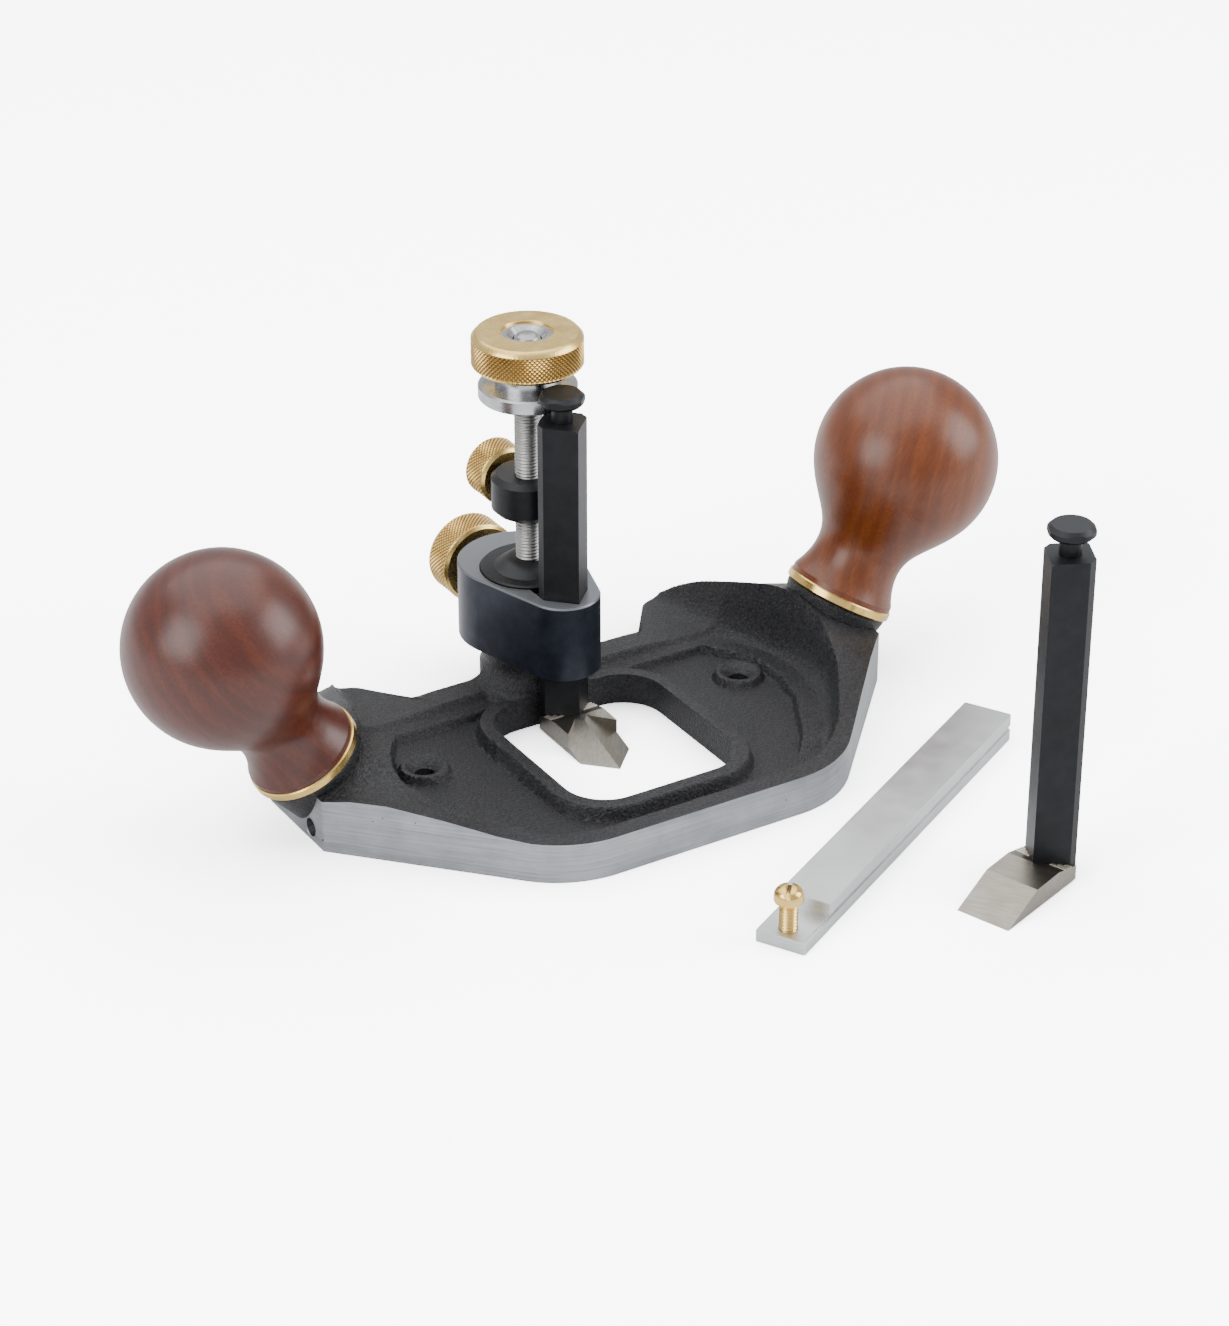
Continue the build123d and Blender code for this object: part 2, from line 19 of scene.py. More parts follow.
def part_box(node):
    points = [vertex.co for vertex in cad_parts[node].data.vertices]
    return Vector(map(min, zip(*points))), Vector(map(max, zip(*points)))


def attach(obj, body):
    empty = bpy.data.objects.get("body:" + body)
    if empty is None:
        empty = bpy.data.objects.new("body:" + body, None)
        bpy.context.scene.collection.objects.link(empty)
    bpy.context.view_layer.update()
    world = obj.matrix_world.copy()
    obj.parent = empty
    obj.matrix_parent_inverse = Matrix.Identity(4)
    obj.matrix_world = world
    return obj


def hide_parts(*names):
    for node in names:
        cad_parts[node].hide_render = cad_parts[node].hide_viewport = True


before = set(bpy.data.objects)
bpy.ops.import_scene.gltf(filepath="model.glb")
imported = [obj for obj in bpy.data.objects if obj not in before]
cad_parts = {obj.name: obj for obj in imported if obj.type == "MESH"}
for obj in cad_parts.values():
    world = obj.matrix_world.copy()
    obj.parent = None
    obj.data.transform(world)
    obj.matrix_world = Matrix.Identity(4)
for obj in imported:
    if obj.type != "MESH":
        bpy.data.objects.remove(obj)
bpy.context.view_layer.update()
LOG = logging.getLogger("router_plane")
MM = 0.001
Array = np.ndarray
Material, Node, Piece = bpy.types.Material, bpy.types.Node, bpy.types.Object
Socket, Tree = bpy.types.NodeSocket, bpy.types.NodeTree


class Side(Enum):
    """The two ends of the plane."""

    LEFT = -1
    RIGHT = 1


# ---------------------------------------------------------------- small helpers
def linear(hex_colour: str) -> tuple[float, float, float, float]:
    """An sRGB hex colour as linear RGBA.

    Args:
        hex_colour: six hex digits, with or without a leading hash.

    Returns:
        Linear red, green and blue, and an alpha of one.
    """
    digits = hex_colour.lstrip("#")
    values = [int(digits[i:i + 2], 16) / 255 for i in (0, 2, 4)]
    low = [v / 12.92 if v <= 0.04045 else ((v + 0.055) / 1.055) ** 2.4 for v in values]
    return (low[0], low[1], low[2], 1.0)


def smoothstep(low: float, high: float, value: Array) -> Array:
    """Zero below low, one above high, and a smooth S between them."""
    t = np.clip((value - low) / (high - low), 0, 1)
    return t * t * (3 - 2 * t)


def feed(tree: Tree, node: Node, inputs: dict[str | int, Any]) -> None:
    """Set a node's inputs: a socket is linked, a node gives its first output, a plain value is stored.

    Args:
        tree: the material's node tree.
        node: the node that is fed.
        inputs: input name or index to what feeds it.
    """
    for name, value in inputs.items():
        source = value.outputs[0] if isinstance(value, Node) else value
        if isinstance(source, Socket):
            tree.links.new(source, node.inputs[name])
        else:
            node.inputs[name].default_value = source


def add_node(tree: Tree, kind: str, inputs: dict[str | int, Any] | None = None,
             stops: Sequence[tuple[float, str]] = (), **settings: Any) -> Node:
    """Add a shader node with its settings and its inputs.

    Args:
        tree: the material's node tree.
        kind: the node's type name.
        inputs: input name or index to what feeds it.
        stops: position and hex colour of each stop, where the node is a colour ramp.
        settings: attributes of the node itself.

    Returns:
        The new node.
    """
    node = tree.nodes.new(kind)
    for name, value in settings.items():
        setattr(node, name, value)
    feed(tree, node, inputs or {})
    if stops:
        elements = node.color_ramp.elements
        while len(elements) < len(stops):
            elements.new(0.5)
        for element, (position, colour) in zip(elements, stops):
            element.position = position
            element.color = linear(colour)
    return node


def per_feature(size: float) -> float:
    """Scale of a texture whose features are about size millimetres across."""
    return 1 / (size * MM)


def catmull_rom(points: Array, per_span: int) -> Array:
    """A smooth open curve through points: each span blends four neighbours by cubics.

    Args:
        points: n rows of coordinates.
        per_span: samples in each span.

    Returns:
        The dense curve, one row a sample.
    """
    ends = np.vstack([2 * points[0] - points[1], points, 2 * points[-1] - points[-2]])
    t = np.linspace(0, 1, per_span, endpoint=False)[:, None]
    spans = []
    for i in range(1, len(ends) - 2):
        a, b, c, d = ends[i - 1], ends[i], ends[i + 1], ends[i + 2]
        spans.append(0.5 * (2 * b + (c - a) * t + (2 * a - 5 * b + 4 * c - d) * t ** 2
                            + (3 * b - a - 3 * c + d) * t ** 3))
    return np.vstack(spans + [points[-1:]])


def rounded_loop(corners: Sequence[tuple[float, float, float]], samples: int) -> Array:
    """A closed outline of straight runs joined by tangent arcs, sampled evenly.

    Args:
        corners: x, y and radius of each corner, anticlockwise.
        samples: how many points the loop gets.

    Returns:
        The loop, one row a point.
    """
    dense = []
    count = len(corners)
    for i in range(count):
        before = np.array(corners[i - 1][:2])
        corner = np.array(corners[i][:2])
        after = np.array(corners[(i + 1) % count][:2])
        to_before = (before - corner) / np.linalg.norm(before - corner)
        to_after = (after - corner) / np.linalg.norm(after - corner)
        half = math.acos(np.clip(to_before @ to_after, -1, 1)) / 2
        reach = corners[i][2] / math.tan(half)
        middle = (to_before + to_after) / np.linalg.norm(to_before + to_after)
        centre = corner + middle * corners[i][2] / math.sin(half)
        start = corner + to_before * reach - centre
        end = corner + to_after * reach - centre
        turn = math.atan2(start[0] * end[1] - start[1] * end[0], start @ end)
        angles = np.linspace(0, turn, 24) + math.atan2(start[1], start[0])
        dense.append(centre + corners[i][2] * np.c_[np.cos(angles), np.sin(angles)])
    loop = np.vstack(dense + [dense[0][:1]])
    walked = np.r_[0, np.cumsum(np.linalg.norm(np.diff(loop, axis=0), axis=1))]
    even = np.linspace(0, walked[-1], samples, endpoint=False)
    return np.c_[np.interp(even, walked, loop[:, 0]), np.interp(even, walked, loop[:, 1])]


def nearest(points: Array, curve: Array) -> tuple[Array, Array]:
    """For each point the distance to a sampled curve and the nearest sample's index."""
    distance = np.empty(len(points))
    index = np.empty(len(points), dtype=int)
    for start in range(0, len(points), 8000):
        chunk = points[start:start + 8000]
        squared = ((chunk[:, None, :] - curve[None, :, :2]) ** 2).sum(axis=2)
        index[start:start + 8000] = squared.argmin(axis=1)
        distance[start:start + 8000] = np.sqrt(squared.min(axis=1))
    return distance, index


def mark_grooves(piece: Piece, depth: Array) -> None:
    """Store how deep in a groove each vertex lies, zero to one, as the "groove" attribute."""
    values = np.zeros(len(piece.data.vertices), dtype=np.float32)
    values[:depth.size] = depth.ravel()
    piece.data.attributes.new("groove", "FLOAT", "POINT").data.foreach_set("value", values)


def grid_quads(rows: int, columns: int, wrap_rows: bool = False) -> Array:
    """Quads of a grid whose columns close round. Vertex number is row * columns + column."""
    last = rows if wrap_rows else rows - 1
    row, column = np.meshgrid(np.arange(last), np.arange(columns), indexing="ij")
    up, right = (row + 1) % rows, (column + 1) % columns
    corners = (row * columns + column, row * columns + right, up * columns + right, up * columns + column)
    return np.stack(corners, axis=-1).reshape(-1, 4)


def new_piece(name: str, vertices: Array, faces: list, materials: Sequence[Material],
              face_materials: Array | None = None, crease: float = 32.0) -> Piece:
    """A mesh object at the origin from vertices in millimetres.

    Args:
        name: the piece's name.
        vertices: one row a vertex, in millimetres.
        faces: lists of vertex numbers.
        materials: the piece's material slots.
        face_materials: slot number of each face.
        crease: edges that turn by more than this many degrees stay sharp.

    Returns:
        The linked object.
    """
    mesh = bpy.data.meshes.new(name)
    mesh.from_pydata((vertices * MM).tolist(), [], faces)
    for material in materials:
        mesh.materials.append(material)
    if face_materials is not None:
        mesh.polygons.foreach_set("material_index", face_materials.astype(np.int32))
    mesh.polygons.foreach_set("use_smooth", np.ones(len(mesh.polygons), dtype=bool))
    mesh.set_sharp_from_angle(angle=math.radians(crease))
    mesh.update()
    piece = bpy.data.objects.new(name, mesh)
    bpy.context.scene.collection.objects.link(piece)
    return piece


@dataclass(frozen=True)
class Axis:
    """A turning axis: a point in millimetres and a direction."""

    origin: tuple[float, float, float]
    direction: tuple[float, float, float] = (0.0, 0.0, 1.0)

    def place(self, radius: Array, angle: Array, height: Array) -> Array:
        """Points at a radius, angle and height about the axis, one row a point."""
        turn = np.array(Vector((0, 0, 1)).rotation_difference(Vector(self.direction)).to_matrix())
        local = np.stack([radius * np.cos(angle), radius * np.sin(angle), height], axis=-1)
        return local.reshape(-1, 3) @ turn.T + np.array(self.origin)


def turned(name: str, axis: Axis, profile: Array, around: int, material: Material,
           relief: Callable[[Array, Array], Array] | None = None, crease: float = 32.0) -> Piece:
    """A lathe-turned solid: the profile's radius and height swept about an axis.

    Args:
        name: the piece's name.
        axis: the axis it turns about.
        profile: radius and height of each ring, from the bottom end to the top end.
        around: points in each ring.
        material: the piece's finish.
        relief: radius taken away, as a function of angle and height, such as a knurl.
        crease: edges that turn by more than this many degrees stay sharp.

    Returns:
        The linked object, closed at both ends.
    """
    angle, radius = np.meshgrid(np.linspace(0, 2 * math.pi, around, endpoint=False), profile[:, 0])
    height = np.repeat(profile[:, 1][:, None], around, axis=1)
    sunk = relief(angle, height) if relief is not None else np.zeros_like(radius)
    vertices = axis.place(radius - sunk, angle, height)
    faces = grid_quads(len(profile), around).tolist()
    faces.append(list(range(around))[::-1])
    faces.append(list(range((len(profile) - 1) * around, len(profile) * around)))
    piece = new_piece(name, vertices, faces, [material], crease=crease)
    if relief is not None:
        mark_grooves(piece, sunk / sunk.max())
    return piece


def cut(piece: Piece, cutters: Sequence[Piece]) -> None:
    """Take the cutters' volumes out of a piece, and delete the cutters."""
    for cutter in cutters:
        tool = piece.modifiers.new("cut", "BOOLEAN")
        tool.operation = "DIFFERENCE"
        tool.solver = "EXACT"
        tool.object = cutter
    bpy.context.view_layer.update()
    result = bpy.data.meshes.new_from_object(piece.evaluated_get(bpy.context.evaluated_depsgraph_get()))
    piece.modifiers.clear()
    old, piece.data = piece.data, result
    bpy.data.meshes.remove(old)
    for cutter in cutters:
        bpy.data.objects.remove(cutter)


def prism(name: str, outline: Array, low: float, high: float) -> Piece:
    """An upright prism on a plan outline, used as a cutter."""
    count = len(outline)
    vertices = np.vstack([np.c_[outline, np.full(count, low)], np.c_[outline, np.full(count, high)]])
    faces = grid_quads(2, count).tolist()
    faces.append(list(range(count))[::-1])
    faces.append(list(range(count, 2 * count)))
    return new_piece(name, vertices, faces, [])


# ---------------------------------------------------------------- finishes
@dataclass(frozen=True)
class Finish:
    """A surface finish: every subclass builds one material from its own fields."""

    name: str

    def build(self) -> Material:
        """Make the material."""
        material = bpy.data.materials.new(self.name)
        material.use_nodes = True
        tree = material.node_tree
        shader = tree.nodes["Principled BSDF"]
        self.wire(tree, shader, add_node(tree, "ShaderNodeTexCoord").outputs["Object"])
        return material

    def wire(self, tree: Tree, shader: Node, where: Socket) -> None:
        """Connect the pattern to the shader."""
        raise NotImplementedError


@dataclass(frozen=True)
class TexturedPaint(Finish):
    """Baked textured enamel on cast iron: fine orange-peel grains, their tops painted lighter as soft
    speckled glints.
    """

    name: str = "textured_black_enamel"
    dark: str = "#050506"
    # colour painted on the grain tops: painted glints
    light: str = "#2C2D30"
    grain: float = 0.7          # real grains are about 0.3 mm: drawn coarser so that they show
    grain_depth: float = 0.5
    roughness: float = 0.42
    specular: float = 0.45

    def wire(self, tree: Tree, shader: Node, where: Socket) -> None:
        """Grains lift the surface, and their tops are painted lighter: painted glints."""
        grains = add_node(tree, "ShaderNodeTexNoise", {"Vector": where, "Scale": per_feature(self.grain),
                                                       "Detail": 2.0, "Roughness": 0.6})
        fine = add_node(tree, "ShaderNodeTexNoise", {"Vector": where, "Scale": per_feature(self.grain * 0.45),
                                                     "Detail": 1.0, "Roughness": 0.6})
        mixed = add_node(tree, "ShaderNodeMath", {0: grains, 1: fine}, operation="ADD")
        height = add_node(tree, "ShaderNodeMath", {0: mixed, 1: 0.5}, operation="MULTIPLY")
        # grain tops are painted lighter than their hollows: painted glints
        colour = add_node(tree, "ShaderNodeValToRGB", {"Fac": height},
                          ((0.42, self.dark), (0.62, self.light)))
        bump = add_node(tree, "ShaderNodeBump", {"Height": height, "Distance": self.grain_depth * MM})
        feed(tree, shader, {"Base Color": colour, "Roughness": self.roughness,
                            "Specular IOR Level": self.specular, "Normal": bump})


@dataclass(frozen=True)
class GroundIron(Finish):
    """Belt-ground cast iron: a grey satin with long level scratches and a few dark pores."""

    name: str = "ground_cast_iron"
    dark: str = "#85888C"
    light: str = "#B4B6B9"
    pore: str = "#2A2A2C"
    metallic: float = 0.85
    roughness: float = 0.42
    scratch_depth: float = 0.02

    def wire(self, tree: Tree, shader: Node, where: Socket) -> None:
        """Scratches run level, clouds vary the tone and pores are dark dots."""
        level = add_node(tree, "ShaderNodeMapping", {"Vector": where, "Scale": (0.03, 0.03, 1.6)})
        lines = add_node(tree, "ShaderNodeTexNoise", {"Vector": level, "Scale": per_feature(0.7),
                                                      "Detail": 4.0, "Roughness": 0.6})
        clouds = add_node(tree, "ShaderNodeTexNoise", {"Vector": where, "Scale": per_feature(9.0),
                                                       "Detail": 3.0, "Roughness": 0.6})
        both = add_node(tree, "ShaderNodeMix", {"Factor": 0.4, 2: lines, 3: clouds})
        colour = add_node(tree, "ShaderNodeValToRGB", {"Fac": both}, ((0.3, self.dark), (0.7, self.light)))
        dots = add_node(tree, "ShaderNodeTexNoise", {"Vector": where, "Scale": per_feature(1.1),
                                                     "Detail": 0.0, "Roughness": 0.6})
        pores = add_node(tree, "ShaderNodeMapRange", {"Value": dots, "From Min": 0.855, "From Max": 0.875})
        spotted = add_node(tree, "ShaderNodeMix", {"Factor": pores, 6: colour, 7: linear(self.pore)},
                           data_type="RGBA")
        bump = add_node(tree, "ShaderNodeBump", {"Height": lines, "Distance": self.scratch_depth * MM})
        feed(tree, shader, {"Base Color": spotted.outputs[2], "Metallic": self.metallic,
                            "Roughness": self.roughness, "Normal": bump})


@dataclass(frozen=True)
class TurnedHardwood(Finish):
    """Oiled and buffed hardwood: long grain up the handle, pores as short dark dashes, a soft sheen."""

    name: str = "hardwood"
    side: Side = Side.RIGHT
    tilt: float = 30.3
    centre: tuple[float, float, float] = (78.0, 1.4, 32.0)
    dark: str = "#4C1F05"
    middle: str = "#652F09"
    light: str = "#7E4315"
    layer: float = 14.0
    layer_turn: tuple[float, float, float] = (6, 14, 35)
    grain_depth: float = 0.02

    def wire(self, tree: Tree, shader: Node, where: Socket) -> None:
        """Growth layers are tilted sheets; the grain and pores stretch along the handle's axis."""
        shifted = add_node(tree, "ShaderNodeMapping", {"Vector": where,
                                                       "Location": tuple(-v * MM for v in self.centre)})
        lean = (0, math.radians(-self.side.value * self.tilt), 0)
        upright = add_node(tree, "ShaderNodeMapping", {"Vector": shifted, "Rotation": lean})
        # squeeze along the grain, size in millimetres, detail and roughness of each pattern
        patterns = ((0.25, 14.0, 2.0, 0.6), (0.05, 0.5, 4.0, 0.7), (0.09, 0.32, 1.0, 0.6))
        warp, grain, dashes = (add_node(tree, "ShaderNodeTexNoise", {
            "Vector": add_node(tree, "ShaderNodeMapping", {"Vector": upright, "Scale": (1, 1, squeeze)}),
            "Scale": per_feature(size), "Detail": detail, "Roughness": rough})
            for squeeze, size, detail, rough in patterns)
        tilted = add_node(tree, "ShaderNodeMapping",
                          {"Vector": upright, "Rotation": tuple(math.radians(v) for v in self.layer_turn)})
        sheets = add_node(tree, "ShaderNodeMapping", {"Vector": tilted, "Scale": (1.0, 0.3, 0.12)})
        layers = add_node(tree, "ShaderNodeTexWave",
                          {"Vector": sheets, "Scale": per_feature(self.layer), "Distortion": 9.0,
                           "Detail": 3.0, "Detail Scale": 1.6, "Detail Roughness": 0.65},
                          wave_type="BANDS", bands_direction="X")
        tone = add_node(tree, "ShaderNodeMix", {"Factor": 0.8, 2: layers.outputs["Fac"], 3: grain})
        toned = add_node(tree, "ShaderNodeMix", {"Factor": 0.35, 2: tone, 3: warp})
        colour = add_node(tree, "ShaderNodeValToRGB", {"Fac": toned},
                          ((0.2, self.dark), (0.5, self.middle), (0.8, self.light)))
        pores = add_node(tree, "ShaderNodeMapRange", {"Value": dashes, "From Min": 0.62, "From Max": 0.72,
                                                      "To Max": 0.45})
        spotted = add_node(tree, "ShaderNodeMix", {"Factor": pores, 6: colour, 7: linear(self.dark)},
                           data_type="RGBA")
        bump = add_node(tree, "ShaderNodeBump", {"Height": grain, "Distance": self.grain_depth * MM})
        feed(tree, shader, {"Base Color": spotted.outputs[2], "Roughness": 0.34, "Specular IOR Level": 0.5,
                            "Coat Weight": 0.12, "Coat Roughness": 0.3, "Normal": bump})


@dataclass(frozen=True)
class TurnedMetal(Finish):
    """Lathe-turned bare metal: a clean colour, fine tool marks and slight smears."""

    name: str = "turned_metal"
    colour: str = "#F8D88C"
    shade: str = "#DDB258"
    roughness: float = 0.22
    metallic: float = 1.0
    marks: tuple[float, float, float] = (0.15, 0.15, 1.0)
    mark_size: float = 0.35
    mark_depth: float = 0.006
    groove: str = ""            # colour painted where the "groove" attribute marks a recess, such as a knurl's grooves: painted shade

    def wire(self, tree: Tree, shader: Node, where: Socket) -> None:
        """Tool marks are fine lines; smears vary the tone and the gloss."""
        drawn = add_node(tree, "ShaderNodeMapping", {"Vector": where, "Scale": self.marks})
        lines = add_node(tree, "ShaderNodeTexNoise", {"Vector": drawn, "Scale": per_feature(self.mark_size),
                                                      "Detail": 3.0, "Roughness": 0.6})
        smears = add_node(tree, "ShaderNodeTexNoise", {"Vector": where, "Scale": per_feature(5.0),
                                                       "Detail": 3.0, "Roughness": 0.6})
        both = add_node(tree, "ShaderNodeMix", {"Factor": 0.35, 2: lines, 3: smears})
        colour = add_node(tree, "ShaderNodeValToRGB", {"Fac": both},
                          ((0.25, self.shade), (0.7, self.colour))).outputs["Color"]
        # the deepest parts of a groove are painted darker: painted shade
        if self.groove:
            deep = add_node(tree, "ShaderNodeAttribute", attribute_name="groove").outputs["Fac"]
            colour = add_node(tree, "ShaderNodeMix", {"Factor": deep, 6: colour, 7: linear(self.groove)},
                              data_type="RGBA").outputs[2]
        rough = add_node(tree, "ShaderNodeMapRange", {"Value": smears, "To Min": self.roughness * 0.8,
                                                      "To Max": self.roughness * 1.3})
        bump = add_node(tree, "ShaderNodeBump", {"Height": lines, "Distance": self.mark_depth * MM})
        feed(tree, shader, {"Base Color": colour, "Metallic": self.metallic, "Roughness": rough,
                            "Normal": bump})


@dataclass(frozen=True)
class BlackOxide(Finish):
    """Chemically blacked steel: blue-black satin, with faces that turn up painted greyer as a painted
    highlight.
    """

    name: str = "black_oxide_steel"
    colour: str = "#1E2126"
    shade: str = "#14161A"
    # colour painted on faces that turn up: a painted highlight
    top: str = "#1E2126"
    metallic: float = 0.55
    roughness: float = 0.36
    line_turn: float = 20.0
    line_depth: float = 0.006

    def wire(self, tree: Tree, shader: Node, where: Socket) -> None:
        """Faces that turn up are painted a lighter tone, a painted highlight; fine straight lines run over
        every face.
        """
        clouds = add_node(tree, "ShaderNodeTexNoise", {"Vector": where, "Scale": per_feature(4.0),
                                                       "Detail": 4.0, "Roughness": 0.6})
        body = add_node(tree, "ShaderNodeValToRGB", {"Fac": clouds}, ((0.3, self.shade), (0.7, self.colour)))
        # faces that turn up are painted lighter: a painted highlight
        facing = add_node(tree, "ShaderNodeSeparateXYZ", {0: where.node.outputs["Normal"]})
        painted_highlight_mask = add_node(tree, "ShaderNodeMapRange", {"Value": facing.outputs["Z"],
                                                       "From Min": 0.45, "From Max": 0.8})
        mixed = add_node(tree, "ShaderNodeMix", {"Factor": painted_highlight_mask, 6: body, 7: linear(self.top)},
                         data_type="RGBA")
        askew = add_node(tree, "ShaderNodeMapping", {"Vector": where,
                                                     "Rotation": (0, 0, math.radians(self.line_turn))})
        drawn = add_node(tree, "ShaderNodeMapping", {"Vector": askew, "Scale": (0.06, 1, 1)})
        lines = add_node(tree, "ShaderNodeTexNoise", {"Vector": drawn, "Scale": per_feature(0.4),
                                                      "Detail": 2.0, "Roughness": 0.6})
        bump = add_node(tree, "ShaderNodeBump", {"Height": lines, "Distance": self.line_depth * MM})
        feed(tree, shader, {"Base Color": mixed.outputs[2], "Metallic": self.metallic,
                            "Roughness": self.roughness, "Normal": bump})


@dataclass(frozen=True)
class GroundToolSteel(Finish):
    """Surface-ground tool steel: bright grey with straight diagonal grinding lines."""

    name: str = "ground_tool_steel"
    dark: str = "#7F7E7B"
    light: str = "#B4B2AC"
    stain: str = "#8A8172"
    turn: float = 35.0
    roughness: float = 0.3
    line_depth: float = 0.004

    def wire(self, tree: Tree, shader: Node, where: Socket) -> None:
        """One family of long scratches turned about the upright axis."""
        askew = add_node(tree, "ShaderNodeMapping", {"Vector": where,
                                                     "Rotation": (0, 0, math.radians(self.turn))})
        drawn = add_node(tree, "ShaderNodeMapping", {"Vector": askew, "Scale": (1, 0.04, 1)})
        lines = add_node(tree, "ShaderNodeTexNoise", {"Vector": drawn, "Scale": per_feature(0.45),
                                                      "Detail": 4.0, "Roughness": 0.6})
        colour = add_node(tree, "ShaderNodeValToRGB", {"Fac": lines}, ((0.2, self.dark), (0.8, self.light)))
        clouds = add_node(tree, "ShaderNodeTexNoise", {"Vector": where, "Scale": per_feature(6.0),
                                                       "Detail": 2.0, "Roughness": 0.6})
        stain = add_node(tree, "ShaderNodeMix", {"Factor": clouds, 6: colour, 7: linear(self.stain)},
                         data_type="RGBA")
        bump = add_node(tree, "ShaderNodeBump", {"Height": lines, "Distance": self.line_depth * MM})
        feed(tree, shader, {"Base Color": stain.outputs[2], "Metallic": 1.0, "Roughness": self.roughness,
                            "Normal": bump})


@dataclass
class Palette:
    """Every finish that the plane uses, built once."""

    enamel: Material = field(default_factory=lambda: TexturedPaint().build())
    iron: Material = field(default_factory=lambda: GroundIron().build())
    # the left handle is redder wood than the right one, and is also painted darker: painted shade for the
    # dimmer light on its side
    left_wood_painted_darker: Material = field(default_factory=lambda: TurnedHardwood(
        "hardwood_left_painted_darker", Side.LEFT, centre=(-78.0, 1.4, 32.0),
        dark="#32120A", middle="#4A1D0F", light="#632C17").build())
    right_wood: Material = field(default_factory=lambda: TurnedHardwood("hardwood_right").build())
    # brass bar, turned: warm yellow with sharp highlights, and brown painted shade in a knurl's grooves
    brass: Material = field(default_factory=lambda: TurnedMetal("turned_brass").build())
    knurled_brass: Material = field(default_factory=lambda: TurnedMetal(
        "knurled_brass", colour="#FBDD94", shade="#E0B65C", roughness=0.26,
        groove="#6E4412").build())
    # bare steel, turned: cool grey; a rolled thread is a little duller
    steel: Material = field(default_factory=lambda: TurnedMetal(
        "turned_steel", colour="#C9CACC", shade="#9A9B9E", roughness=0.24).build())
    thread_steel: Material = field(default_factory=lambda: TurnedMetal(
        "rolled_thread_steel", colour="#B8B7B5", shade="#8E8D8B", roughness=0.3).build())
    # blacked steel: the bars are dead black and the collar is bluer; on each, faces that turn up are painted
    # lighter, a painted highlight brightest on the collar
    shank: Material = field(default_factory=lambda: BlackOxide(
        "black_oxide_bar", colour="#1B1C1F", shade="#101114", top="#26282B", roughness=0.42).build())
    collar: Material = field(default_factory=lambda: BlackOxide(
        "black_oxide_collar", colour="#2E333E", shade="#20242D", top="#7B7E83", roughness=0.3).build())
    cap: Material = field(default_factory=lambda: BlackOxide(
        "black_oxide_cap", colour="#1A1B1D", shade="#111214", top="#2A2B2D", roughness=0.4).build())
    # ground tool steel: grinding lines across each foot; the ridge bars are painted near white, a painted
    # highlight where their tops catch the light
    blade: Material = field(default_factory=lambda: GroundToolSteel().build())
    # near-white steel on the ridge bars: a painted highlight
    ridge: Material = field(default_factory=lambda: TurnedMetal(
        "ridge_steel_painted_highlight", colour="#F2EDE2", shade="#D8D2C6", roughness=0.4).build())
    spare_blade: Material = field(default_factory=lambda: GroundToolSteel(
        "ground_tool_steel_spare", turn=-30.0).build())
    # extruded aluminium: pale and even, with die lines along the bar
    aluminium: Material = field(default_factory=lambda: TurnedMetal(
        "extruded_aluminium", colour="#DADCDC", shade="#C3C6C6", roughness=0.4,
        marks=(0.05, 0.05, 1.0), mark_size=0.6).build())


def dress(node: str, material: Material) -> None:
    """Give a CAD node one finish."""
    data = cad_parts[node].data
    data.materials.clear()
    data.materials.append(material)
    LOG.info("%s is finished in %s", node, material.name)


def join_frame(piece: Piece, body: str, slot: str, *nodes: str) -> None:
    """Let a piece ride on a body and stand for CAD nodes, which are hidden."""
    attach(piece, body)
    if nodes:
        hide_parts(*nodes)
    LOG.info("%s rides on %s", piece.name, body)


